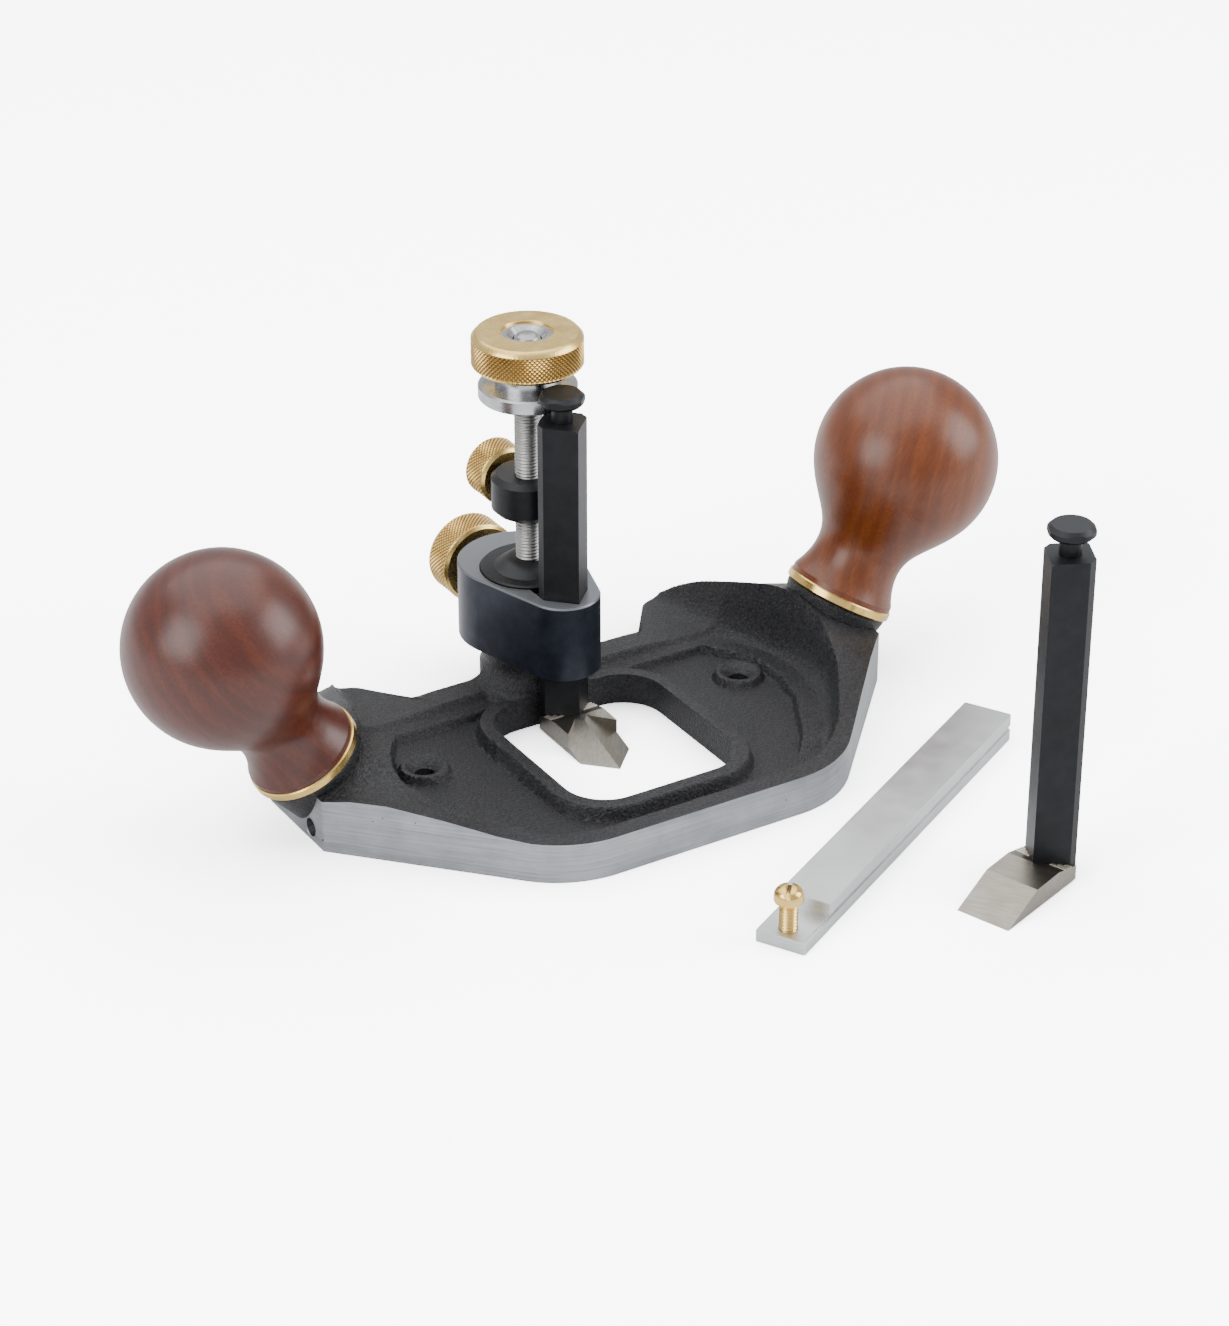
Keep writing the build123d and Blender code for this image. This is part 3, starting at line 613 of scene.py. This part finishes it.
# ---------------------------------------------------------------- sub-assemblies
@dataclass
class BodyCasting:
    """The casting: a sheet of height over its plan, walled at the outline and at the window."""

    front_y: float = -52.0
    corner_x: float = 34.0
    end_x: float = 72.0
    end_front_y: float = -11.5
    end_back_y: float = 15.0
    waist: tuple[float, float] = (31.0, 25.0)
    ear: tuple[float, float] = (38.5, 37.8)
    ear_outer_x: float = 50.0
    post_y: float = 23.6
    post_radius: float = 11.2
    post_top: float = 32.2
    window: tuple[float, float, float, float] = (21.0, -36.5, 11.6, 10.0)
    lip_width: float = 3.1
    lip_height: float = 7.4
    floor: float = 4.2
    ledge: float = 6.1
    ledge_width: float = 3.6
    back_rim: float = 8.0
    back_rim_y: float = 18.2
    hole_x: float = 41.0
    hole_boss: tuple[float, float] = (5.5, 6.0)
    around: int = 900
    across: int = 92
    crest: tuple = ((0, -47.4, 9.2), (12, -47.4, 9.2), (24, -47.2, 9.2), (34, -44.2, 9.3), (43.5, -36, 9.9),
                    (51, -25.5, 10.9), (55, -19, 13.0), (56.7, -13, 16.2), (57.2, -7, 19.4), (56.4, -1, 21.3),
                    (55, 4.4, 21.6), (53.4, 10.3, 20.5), (51.8, 16.2, 18.7), (50.1, 22, 16.8),
                    (48.2, 27.7, 14.8), (46.1, 32.8, 12.3), (44.4, 36.4, 10.0), (43.4, 39.0, 8.6),
                    (42.0, 44.0, 8.0))
    side_y: tuple = (-52, -45, -40, -31.5, -22, -16, -11.5, 0, 15, 30, 37.8)
    side_height: tuple = (9.2, 9.3, 9.9, 11.8, 13.4, 13.2, 12.2, 13.0, 13.5, 10.5, 8.4)
    wall_y: tuple = (-47, -40, -30, -13.5, 0, 5, 12, 20, 30, 37)
    wall_width: tuple = (1.8, 3.2, 4.8, 6.5, 4.6, 4.2, 5.4, 9.0, 8.5, 5.0)
    back_drop: float = 0.8
    post_fillet: float = 5.0
    post_fillet_rise: float = 0.8
    seat_reach: float = 13.2
    seat_gap: float = 0.25
    seat_boss: tuple[float, float, float] = (13.0, 12.4, 14.0)      # length, radius, taper in degrees
    groove_apex: float = 15.9
    groove_reach: float = 13.5

    def outline(self) -> Array:
        """The sole's edge, with a bulge under the post."""
        half = [(self.corner_x, self.front_y, 25.0), (self.end_x, self.end_front_y, 0.6),
                (self.end_x, self.end_back_y, 6.0), (self.ear_outer_x, self.ear[1], 5.0),
                (*self.ear, 5.0), (*self.waist, 5.5), (self.post_radius + 0.3, self.waist[1], 1.0),
                (self.post_radius + 0.2, self.post_y + self.post_radius + 0.2, self.post_radius - 0.6)]
        mirrored = [(-x, y, r) for x, y, r in reversed(half)]
        return rounded_loop(half + mirrored, self.around)

    def window_edge(self, outline: Array) -> Array:
        """The window's edge, sampled so that it turns with the outline."""
        half, front, back, radius = self.window
        loop = rounded_loop([(half, front, radius), (half, back, radius),
                             (-half, back, radius), (-half, front, radius)], 2000)
        centre = np.array([0, (front + back) / 2])
        bearing = np.unwrap(np.arctan2(*(outline - centre).T[::-1]))
        steps = np.diff(np.r_[bearing, bearing[0] + 2 * math.pi])
        steps = np.maximum(steps, 0.15 * steps.mean())
        turned_to = bearing[0] + 2 * math.pi * np.r_[0, np.cumsum(steps)[:-1]] / steps.sum()
        own = np.unwrap(np.arctan2(*(loop - centre).T[::-1]))
        wrapped = np.mod(turned_to - own[0], 2 * math.pi) + own[0]
        return np.c_[np.interp(wrapped, own, loop[:, 0]), np.interp(wrapped, own, loop[:, 1])]

    def back_height(self, x: Array) -> Array:
        """Height of the rim behind the recess, a little lower towards the ears."""
        return self.back_rim - self.back_drop * smoothstep(24, 38, x)

    def edge_height(self, x: Array, y: Array) -> Array:
        """Height of the outer edge: a low front, sides that rise towards the handles, low ears."""
        side = np.interp(y, self.side_y, self.side_height)
        back = self.back_height(x)
        behind = smoothstep(44, 50, x) + (1 - smoothstep(22, 24, y))
        return side * np.clip(behind, 0, 1) + back * (1 - np.clip(behind, 0, 1))

    def height(self, points: Array, outline: Array, to_window: Array) -> Array:
        """Height of the cast surface over plan points.

        Outside the crest the surface falls to the outer edge. Inside it, a hollow wall
        falls to the ledge or to the back rim; the floor, lip, hole bosses and the
        fillet round the post are laid over that.

        Args:
            points: plan points, one row each.
            outline: the sole's edge.
            to_window: distance of each point from the window's edge.

        Returns:
            The height of each point.
        """
        x, y = np.abs(points[:, 0]), points[:, 1]
        flat = np.c_[x, y]
        crest = catmull_rom(np.array(self.crest, dtype=float), 24)
        tangent = np.gradient(crest, axis=0)
        distance, index = nearest(flat, crest)
        offset = flat - crest[index, :2]
        inside = tangent[index, 0] * offset[:, 1] - tangent[index, 1] * offset[:, 0] > 0
        crest_z = crest[index, 2]
        to_edge, edge_index = nearest(points, outline)
        edge = outline[edge_index]
        edge_z = self.edge_height(np.abs(edge[:, 0]), edge[:, 1])
        share = distance / np.maximum(distance + to_edge, 1e-6)
        outer = crest_z + (edge_z - crest_z) * share
        wall = np.interp(crest[index, 1], self.wall_y, self.wall_width)
        to_rim = self.back_rim_y - y
        pocket = np.minimum(distance - wall, to_rim)
        beyond = smoothstep(self.ledge_width, self.ledge_width + 1.0, pocket)
        low = self.ledge - (self.ledge - self.floor) * beyond
        low = np.where(y < -33, self.floor + (low - self.floor) * smoothstep(-39, -33, y), low)
        base = low + (self.back_height(x) - low) * smoothstep(-1.1, 0.9, -to_rim)
        fall = np.clip(1 - distance / wall, 0, 1)
        inner = base + np.maximum(crest_z - base, 0) * (0.35 * fall ** 2 + 0.65 * fall ** 4)
        z = np.where(inside, inner, outer)
        clear = smoothstep(self.lip_width - 0.2, self.lip_width + 1.5, to_window)
        z = np.maximum(z, self.floor - 1 + (self.lip_height - self.floor + 1) * (1 - clear))
        boss_radius, boss_height = self.hole_boss
        from_hole = np.hypot(x - self.hole_x, y)
        z = np.maximum(z, boss_height - 3.0 * smoothstep(boss_radius - 0.3, boss_radius + 0.8, from_hole))
        from_post = np.hypot(x, y - self.post_y) - self.post_radius
        climb = (1 - np.clip(from_post / self.post_fillet, 0, 1)) * smoothstep(9.5, 14, y)
        pad = np.maximum(self.back_rim - z, 0) * smoothstep(0, 0.35, climb)
        return z + pad + self.post_fillet * self.post_fillet_rise * (1 - np.sqrt(1 - climb ** 2))

    def seat(self, side: Side) -> tuple[Array, Array]:
        """Centre of the handle's seat on the casting, and the handle's direction."""
        lean = math.radians(Handle.tilt)
        up = np.array([side.value * math.sin(lean), 0, math.cos(lean)])
        foot = np.array([side.value * Handle.foot[0], Handle.foot[1], Handle.foot[2]])
        return foot - up * Handle.ferrule, up

    def build(self, palette: Palette) -> None:
        """Make the sheet, its walls and sole, the post and the handle bosses."""
        outline = self.outline()
        window = self.window_edge(outline)
        share = np.linspace(0, 1, self.across)[:, None, None]
        plan = (outline[None] * (1 - share) + window[None] * share).reshape(-1, 2)
        to_window, _ = nearest(plan, window)
        z = self.height(plan, outline, to_window)
        for side in Side:
            centre, up = self.seat(side)
            level = centre[2] - (plan[:, 0] - centre[0]) * up[0] / up[2]
            across = (plan[:, 0] - centre[0]) / up[2] * 0.9
            near = np.hypot(across, plan[:, 1] - centre[1]) < self.seat_reach
            z = np.where(near, np.minimum(z, level - self.seat_gap), z)
        top = np.c_[plan, z].reshape(self.across, self.around, 3)
        foot = np.concatenate([np.c_[window, np.zeros(self.around)][None],
                               np.c_[outline, np.zeros(self.around)][None]])
        middle = (top[:1] + foot[1:]) / 2
        rows = np.concatenate([top, foot, middle])
        count = len(rows)
        faces = grid_quads(count, self.around, wrap_rows=True)
        row = np.repeat(np.arange(count), self.around)
        column = np.tile(np.arange(self.around), count)
        front = outline[column, 1] < self.end_back_y - 1
        ground = (row == self.across) | ((row > self.across) & front)
        piece = new_piece("body_casting_shell", rows.reshape(-1, 3), faces.tolist(),
                          [palette.enamel, palette.iron], ground.astype(int), crease=38)
        cut(piece, self.cutters())
        join_frame(piece, "plane_body", "black_casting", "body_casting")
        post = turned("post", Axis((0, self.post_y, 0)),
                      np.array([(self.post_radius, 1.0), (self.post_radius, self.post_top - 0.3),
                                (self.post_radius - 0.3, self.post_top)]), 96, palette.enamel)
        cut(post, [self.groove()])
        join_frame(post, "plane_body", "black_casting")
        for side in Side:
            self.handle_boss(side, palette)

    def groove(self) -> Piece:
        """The V groove behind the shank."""
        apex, reach = self.groove_apex, self.groove_reach
        return prism("groove", np.array([(0, apex), (-reach, apex - reach), (reach, apex - reach)]), -1, 40)

    def cutters(self) -> list[Piece]:
        """What is drilled and milled out of the sheet."""
        tools = [self.groove()]
        blank = bpy.data.materials["textured_black_enamel"]
        for side in Side:
            sink = np.array([(2.2, -1), (2.2, 3.95), (4.3, 6.05), (4.3, 9)])
            tools.append(turned("countersink", Axis((side.value * self.hole_x, 0, 0)), sink, 48, blank))
            bore = np.array([(2.1, -10.0), (2.1, 4.0)])
            tools.append(turned("end_hole", Axis((side.value * self.end_x, -6.0, 3.2), (side.value, 0, 0)),
                                bore, 32, blank))
        return tools

    def handle_boss(self, side: Side, palette: Palette) -> None:
        """The slanted cone under a ferrule, with a small rounded shoulder."""
        centre, up = self.seat(side)
        length, radius, degrees = self.seat_boss
        taper = math.tan(math.radians(degrees))
        depth = np.linspace(length, 1.4, 12)
        profile = [(radius - d * taper, -d) for d in depth]
        profile += [(radius - 0.25, -0.7), (radius - 0.5, -0.25), (radius - 1.1, -0.05)]
        boss = turned(side.name.lower() + "_boss", Axis(tuple(centre), tuple(up)), np.array(profile), 96,
                      palette.enamel)
        join_frame(boss, "plane_body", "black_casting")


@dataclass
class Handle:
    """A ball handle: the wood, its ferrule, and the insert and stud inside."""

    side: Side
    tilt: float = 30.3
    foot: tuple[float, float, float] = (70.0, 1.4, 18.4)
    ferrule: float = 2.0

    def dress(self, palette: Palette) -> None:
        """Finish the four pieces."""
        name = self.side.name.lower()
        # the left wood is painted darker than the right: painted shade
        dress(name + "_handle", palette.left_wood_painted_darker if self.side is Side.LEFT else palette.right_wood)
        dress(name + "_ferrule", palette.brass)
        dress(name + "_handle_insert", palette.brass)
        dress(name + "_handle_stud", palette.steel)


@dataclass
class Knurl:
    """Diamond knurling: two crossing families of V grooves leave small pyramids."""

    radius: float
    low: float
    high: float
    pitch: float = 1.05         # the real one is about 0.85 mm: drawn coarser so that it shows
    depth: float = 0.34
    per_pitch: int = 8

    def relief(self, angle: Array, height: Array) -> Array:
        """Depth of the grooves at an angle and height, none outside the band."""
        count = round(2 * math.pi * self.radius / self.pitch)
        along = height / self.pitch
        first = np.mod(angle * count / (2 * math.pi) + along, 1)
        second = np.mod(angle * count / (2 * math.pi) - along, 1)
        peak = np.minimum(1 - np.abs(2 * first - 1), 1 - np.abs(2 * second - 1))
        end = smoothstep(self.high - 0.25, self.high + 0.1, height)
        band = smoothstep(self.low - 0.1, self.low + 0.25, height) * (1 - end)
        return self.depth * (1 - peak) * band

    def rings(self) -> Array:
        """Heights of the rings that the pattern needs."""
        count = int((self.high - self.low) / self.pitch * self.per_pitch)
        return np.linspace(self.low, self.high, count + 1)

    @property
    def around(self) -> int:
        """Points round the wheel that the pattern needs."""
        return round(2 * math.pi * self.radius / self.pitch) * self.per_pitch


@dataclass
class Thread:
    """A single-start V thread on a rod."""

    pitch: float
    low: float
    high: float
    depth: float = 0.42
    per_pitch: int = 10

    def relief(self, angle: Array, height: Array) -> Array:
        """Depth of the thread: the crest climbs one pitch a turn."""
        phase = np.mod(height / self.pitch - angle / (2 * math.pi), 1)
        groove = np.clip(np.abs(2 * phase - 1) * 1.25 - 0.12, 0, 1)
        end = smoothstep(self.high - 0.5, self.high, height)
        fade = smoothstep(self.low, self.low + 0.4, height) * (1 - end)
        return self.depth * groove * fade

    def rings(self) -> Array:
        """Heights of the rings that the thread needs."""
        count = int((self.high - self.low) / self.pitch * self.per_pitch)
        return np.linspace(self.low, self.high, count + 1)


@dataclass
class Adjuster:
    """The lead screw and, on it, the brass wheel pressed on a steel spool."""

    post_y: float = BodyCasting.post_y
    wheel: tuple[float, float, float] = (12.45, 83.2, 91.0)
    bore: float = 5.52
    screw: tuple[float, float, float] = (3.175, 20.2, 90.6)
    plain: float = 12.2         # length of screw below the thread
    thread_pitch: float = 0.79375
    thread_depth: float = 0.34

    def build(self, palette: Palette) -> None:
        """Knurl the wheel, cut the thread and dress the spool."""
        radius, low, high = self.wheel
        knurl = Knurl(radius, low + 0.75, high - 1.35)
        inner = self.bore
        profile = [(inner, low), (radius - 0.7, low), (radius - 0.15, low + 0.5)]
        profile += [(radius, h) for h in knurl.rings()]
        profile += [(radius - 0.12, high - 1.15), (radius - 1.0, high - 0.18), (radius - 1.25, high),
                    (5.9, high), (5.72, high - 0.2), (5.72, high - 0.5), (inner, high - 0.5)]
        rings = np.array(profile)
        angle, ring = np.meshgrid(np.linspace(0, 2 * math.pi, knurl.around, endpoint=False), rings[:, 0])
        height = np.repeat(rings[:, 1][:, None], knurl.around, axis=1)
        sunk = knurl.relief(angle, height) * (ring > radius - 0.01)
        vertices = Axis((0, self.post_y, 0)).place(ring - sunk, angle, height)
        faces = grid_quads(len(rings), knurl.around, wrap_rows=True).tolist()
        wheel = new_piece("adjuster_wheel_knurled", vertices, faces, [palette.knurled_brass], crease=32)
        mark_grooves(wheel, sunk / sunk.max())
        join_frame(wheel, "adjuster", "brass", "adjuster_wheel")
        dress("adjuster_spool", palette.steel)
        radius, low, high = self.screw
        thread = Thread(self.thread_pitch, low + self.plain, high - 1.8, depth=self.thread_depth)
        profile = [(radius - 0.05, low)]
        profile += [(radius, h) for h in thread.rings()]
        dome = np.linspace(0, math.pi / 2, 8)
        profile += [(0.9 + (radius - 1.1) * math.cos(a), high - 1.6 + 1.6 * math.sin(a)) for a in dome]
        screw = turned("lead_screw_thread", Axis((0, self.post_y, 0)), np.array(profile), 64,
                       palette.thread_steel, thread.relief, crease=60)
        join_frame(screw, "plane_body", "bright_steel", "lead_screw")


@dataclass(frozen=True)
class ThumbKnob:
    """A knurled brass knob on the Y axis, with a smooth collar towards the plane."""

    name: str
    body: str
    radius: float
    start: float
    length: float
    height: float
    smooth: float = 0.7

    def build(self, palette: Palette) -> None:
        """Turn the knob and dress its screw."""
        knurl = Knurl(self.radius, self.smooth, self.length - 0.7)
        radius = self.radius
        profile = [(radius - 2.2, 0.0), (radius - 0.9, 0.0), (radius - 0.35, 0.35),
                   (radius - 0.25, self.smooth - 0.3)]
        profile += [(radius, h) for h in knurl.rings()]
        profile += [(radius - 0.5, self.length - 0.15), (radius - 0.8, self.length),
                    (radius * 0.5, self.length)]
        knob = turned(self.name + "_knob_knurled", Axis((0, self.start, self.height), (0, 1, 0)),
                      np.array(profile), knurl.around, palette.knurled_brass, knurl.relief, crease=32)
        join_frame(knob, self.body, "brass", self.name + "_knob")
        dress(self.name + "_screw", palette.steel)


@dataclass
class ClampAndStop:
    """The clamp collar, the depth stop and their thumb screws."""

    stop: ThumbKnob = ThumbKnob("stop", "stop_thumbscrew", radius=6.9, start=32.95, length=7.8, height=51.9)
    clamp: ThumbKnob = ThumbKnob("clamp", "clamp_thumbscrew", radius=9.7, start=45.9, length=8.2, height=24.3)

    def build(self, palette: Palette) -> None:
        """Turn both knobs and dress the rest."""
        self.stop.build(palette)
        self.clamp.build(palette)
        dress("clamp_collar", palette.collar)
        dress("stop_ring", palette.cap)
        dress("post_cap", palette.cap)
        dress("clamp_pad", palette.brass)


@dataclass
class Blades:
    """Both blades: blacked shanks brazed to ground feet, with three thin ridges across each heel."""

    half_width: float = 6.25
    heel: tuple[float, float] = (-0.3, 3.7)
    crest: tuple[float, float] = (6.5, 5.2)
    ridges: tuple[float, ...] = (1.7, 2.8, 3.9)
    ridge: tuple[float, float] = (0.5, 0.16)
    blade_at: tuple[float, float] = (0.0, 9.0)
    spare_at: tuple[float, float] = (55.0, -98.6)
    spare_turn: float = -70.7

    def ridge_bars(self, name: str, body: str, at: tuple[float, float], turn: float,
                   palette: Palette) -> None:
        """Bars across the foot, each a box that stands a little proud of the sloping top.

        Args:
            name: the piece's name.
            body: the body that the foot belongs to.
            at: X and Y of the shank's axis.
            turn: turn of the foot from straight ahead, in degrees.
            palette: the finishes.
        """
        slope = (self.crest[1] - self.heel[1]) / (self.crest[0] - self.heel[0])
        half, (wide, proud) = self.half_width, self.ridge
        boxes, faces = [], []
        sides = ((0, 3, 2, 1), (4, 5, 6, 7), (0, 1, 5, 4), (1, 2, 6, 5), (2, 3, 7, 6), (3, 0, 4, 7))
        for ahead in self.ridges:
            level = self.heel[1] + slope * (ahead - self.heel[0])
            near, far = -(ahead - wide / 2), -(ahead + wide / 2)
            ring = ((-half, far), (half, far), (half, near), (-half, near))
            faces += [[len(boxes) + v for v in side] for side in sides]
            boxes += [(x, y, level + lift) for lift in (-0.3, proud) for x, y in ring]
        local = np.array(boxes)
        angle = math.radians(turn)
        spin = np.array([[math.cos(angle), -math.sin(angle)], [math.sin(angle), math.cos(angle)]])
        vertices = np.c_[local[:, :2] @ spin.T + np.array(at), local[:, 2]]
        bars = new_piece(name, vertices, faces, [palette.ridge])
        join_frame(bars, body, "ground_steel")

    def build(self, palette: Palette) -> None:
        """Dress the shanks and the feet."""
        self.ridge_bars("heel_ridges", "blade", self.blade_at, 0.0, palette)
        self.ridge_bars("spare_heel_ridges", "spare_blade", self.spare_at, self.spare_turn, palette)
        dress("blade_shank", palette.shank)
        dress("blade_foot", palette.blade)
        dress("spare_blade_shank", palette.shank)
        dress("spare_blade_foot", palette.spare_blade)


@dataclass
class Fence:
    """The fence bar and its slotted brass screw."""

    screw_radius: float = 2.0
    head_radius: float = 3.15
    head_height: float = 3.3
    thread_pitch: float = 0.8
    slot: tuple[float, float, float] = (5.0, 0.5, 1.5)      # half length, half width, depth
    slot_turn: float = 50.0

    def build(self, palette: Palette) -> None:
        """Dress the bar and cut the screw."""
        dress("fence_bar", palette.aluminium)
        low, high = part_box("fence_screw")
        centre = (Vector(low) + Vector(high)) / 2 / MM
        bottom, top = low[2] / MM, high[2] / MM
        neck = top - self.head_height
        thread = Thread(self.thread_pitch, bottom + 0.3, neck, depth=0.36)
        head = self.head_radius
        profile = [(self.screw_radius - 0.4, bottom)]
        profile += [(self.screw_radius, h) for h in thread.rings()]
        profile += [(head - 0.1, neck), (head, neck + 0.3), (head, neck + 1.2)]
        profile += [(head * math.cos(a * 1.25), neck + 1.2 + 2.1 * math.sin(a * math.pi / 2))
                    for a in np.linspace(0, 1, 9)[1:]]
        screw = turned("fence_screw_cut", Axis((centre.x, centre.y, 0)), np.array(profile), 64, palette.brass,
                       thread.relief, crease=40)
        turn, (reach, wide, deep) = math.radians(self.slot_turn), self.slot
        along = np.array([math.cos(turn), math.sin(turn)])
        across = np.array([-math.sin(turn), math.cos(turn)])
        middle = np.array([centre.x, centre.y])
        slot = np.array([middle + s * reach * along + t * wide * across
                         for s, t in ((-1, -1), (1, -1), (1, 1), (-1, 1))])
        cut(screw, [prism("slot", slot, top - deep, top + 1)])
        join_frame(screw, "fence_fastener", "brass", "fence_screw")


@dataclass
class Studio:
    """A wide pale floor, soft lights and the camera."""

    camera_at: tuple[float, float, float] = (-0.370034, -0.615349, 0.414501)
    right: tuple[float, float, float] = (0.85219, -0.52323, 0.0)
    up: tuple[float, float, float] = (0.25209, 0.41059, 0.87628)
    lens: float = 100.30
    sensor: float = 36.0
    floor_half: float = 3.0
    room: str = "#F2F4F7"
    room_strength: float = 0.85
    # place, aim, side in metres and power in watts of each soft light
    lights: tuple = (("overhead", (0.05, 0.25, 0.95), (0, 0, 0), 1.5, 14.0),
                     ("left_window", (-0.9, -0.15, 0.55), (0, 0, 0.03), 0.7, 7.5),
                     ("right_fill", (0.8, -0.5, 0.5), (0, 0, 0.03), 0.7, 8.0))
    paper_gain: float = 4.1     # the paper is lit again for the camera alone, so that it reads white

    def floor(self) -> None:
        """A wide pale floor."""
        half = self.floor_half
        corners = np.array([(-half, -half, 0), (half, -half, 0), (half, half, 0), (-half, half, 0)]) / MM
        material = bpy.data.materials.new("pale_paper")
        material.use_nodes = True
        tree = material.node_tree
        seen = add_node(tree, "ShaderNodeLightPath").outputs["Is Camera Ray"]
        bright = add_node(tree, "ShaderNodeMapRange", {"Value": seen, "To Min": 0.85,
                                                       "To Max": self.paper_gain})
        tint = add_node(tree, "ShaderNodeVectorMath", {0: (0.985, 0.99, 1.0), "Scale": bright},
                        operation="SCALE")
        paper = add_node(tree, "ShaderNodeBsdfDiffuse", {"Color": tint})
        feed(tree, tree.nodes["Material Output"], {"Surface": paper})
        floor = new_piece("floor", corners, [[0, 1, 2, 3]], [material])
        floor.location.z = -0.00005

    def light(self, name: str, at: tuple[float, float, float], aim: tuple[float, float, float], size: float,
              power: float) -> None:
        """A square soft light aimed at a point."""
        data = bpy.data.lights.new(name, "AREA")
        data.size = size
        data.energy = power
        lamp = bpy.data.objects.new(name, data)
        bpy.context.scene.collection.objects.link(lamp)
        lamp.location = at
        lamp.rotation_euler = (Vector(aim) - Vector(at)).to_track_quat("-Z", "Y").to_euler()

    def camera(self) -> None:
        """The camera at its measured place."""
        data = bpy.data.cameras.new("camera")
        data.lens = self.lens
        data.sensor_width = self.sensor
        data.clip_start = 0.01
        camera = bpy.data.objects.new("camera", data)
        bpy.context.scene.collection.objects.link(camera)
        right, up = Vector(self.right), Vector(self.up)
        basis = Matrix((right, up, right.cross(up))).transposed().to_4x4()
        camera.matrix_world = Matrix.Translation(self.camera_at) @ basis
        bpy.context.scene.camera = camera

    def build(self) -> None:
        """Set the stage."""
        self.floor()
        self.camera()
        world = bpy.data.worlds.new("soft_room")
        world.use_nodes = True
        feed(world.node_tree, world.node_tree.nodes["Background"],
             {"Color": linear(self.room), "Strength": self.room_strength})
        bpy.context.scene.world = world
        for lamp in self.lights:
            self.light(*lamp)


def main() -> None:
    """Build every sub-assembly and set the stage."""
    logging.basicConfig(level=logging.INFO)
    palette = Palette()
    BodyCasting().build(palette)
    for side in Side:
        Handle(side).dress(palette)
    Adjuster().build(palette)
    ClampAndStop().build(palette)
    Blades().build(palette)
    Fence().build(palette)
    Studio().build()


if __name__ == "__main__":
    main()
